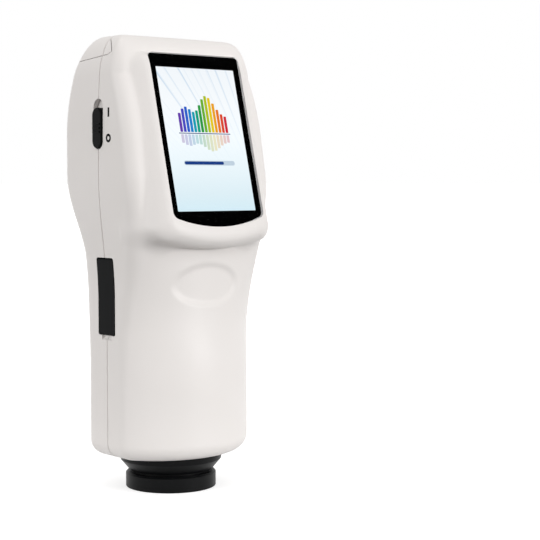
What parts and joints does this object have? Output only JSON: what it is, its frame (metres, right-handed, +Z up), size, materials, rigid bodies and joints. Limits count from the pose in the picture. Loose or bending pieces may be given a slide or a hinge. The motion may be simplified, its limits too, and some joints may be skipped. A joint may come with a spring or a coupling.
{
  "type": "color meter",
  "caption": "Handheld spectrophotometer with a tilted screen, a rear measuring key and a dark nose that stands in its round calibration cap.",
  "frame": {"origin": "on the measuring axis, at the underside of the calibration cap that the meter stands in", "axes": "+Z up along the measuring axis, -Y towards the person who reads the screen, -X the side with the switch"},
  "size_m": [0.0898, 0.0802, 0.2305],
  "materials": {
    "housing": "fine satin, warm white",
    "inner_grey": "as moulded",
    "cell_wrap": "shrink wrap",
    "spring_metal": "nickel plated",
    "screen_glass": "clear, polished",
    "display_panel": "lit display",
    "black_plastic": "satin black",
    "black_rubber": "smooth matt",
    "circuit_board": "solder resist",
    "flex_film": "amber film",
    "screw_steel": "zinc plated",
    "key_cream": "satin",
    "port_metal": "satin anodised",
    "sphere_white": "sintered white",
    "frame_alloy": "machined",
    "optic_mirror": "ruled mirror",
    "tile_white": "glazed"
  },
  "bodies": {
    "housing": {"front_shell": "housing", "rear_shell": "housing", "battery_tray": "inner_grey", "battery_pack": "cell_wrap", "battery_contacts": "spring_metal", "display_glass": "screen_glass", "display_gasket": "black_plastic", "display_module": "display_panel", "main_board": "circuit_board", "display_flex": "flex_film", "board_screws": "screw_steel", "button_ring": "black_plastic", "button_switch": "black_plastic", "button_board": "circuit_board", "power_switch_body": "black_plastic", "port_bay": "black_plastic", "connector_board": "circuit_board", "usb_socket": "spring_metal", "dc_jack": "black_plastic", "port_cone": "black_plastic", "cap_grip_ring": "black_rubber", "foot_screws": "screw_steel", "rear_screws": "screw_steel", "aperture_ring": "port_metal", "sphere_lower": "sphere_white", "sphere_upper": "sphere_white", "lamp_board": "circuit_board", "optical_frame": "frame_alloy", "entrance_tube": "port_metal", "spectrometer_block": "frame_alloy", "spectrometer_lid": "frame_alloy", "grating": "optic_mirror", "sensor_board": "circuit_board"},
    "battery_cover": {"battery_cover": "housing"},
    "power_switch": {"power_switch_knob": "black_plastic"},
    "port_cover": {"port_cover": "black_rubber"},
    "measure_button": {"measure_button": "key_cream", "button_plunger": "black_plastic"},
    "calibration_cap": {"calibration_cap": "black_plastic", "calibration_tile": "tile_white"}
  },
  "joints": [
    {"name": "battery_cover_lift", "type": "slide", "parent": "housing", "child": "battery_cover", "axis": [0, 0.5, 0.866], "range_m": [0, 0.06]},
    {"name": "power_switch_slide", "type": "slide", "parent": "housing", "child": "power_switch", "axis": [0, 0, 1], "range_m": [0, 0.004]},
    {"name": "port_cover_hinge", "type": "hinge", "parent": "housing", "child": "port_cover", "pos_m": [-0.03954, 0, 0.1182], "axis": [0, 1, 0], "range_deg": [0, 90]},
    {"name": "measure_button_press", "type": "slide", "parent": "housing", "child": "measure_button", "axis": [0, -1, 0], "range_m": [0, 0.0012], "stiffness_N_per_m": 400},
    {"name": "calibration_cap_lift", "type": "slide", "parent": "housing", "child": "calibration_cap", "axis": [0, 0, -1], "range_m": [0, 0.03]}
  ]
}
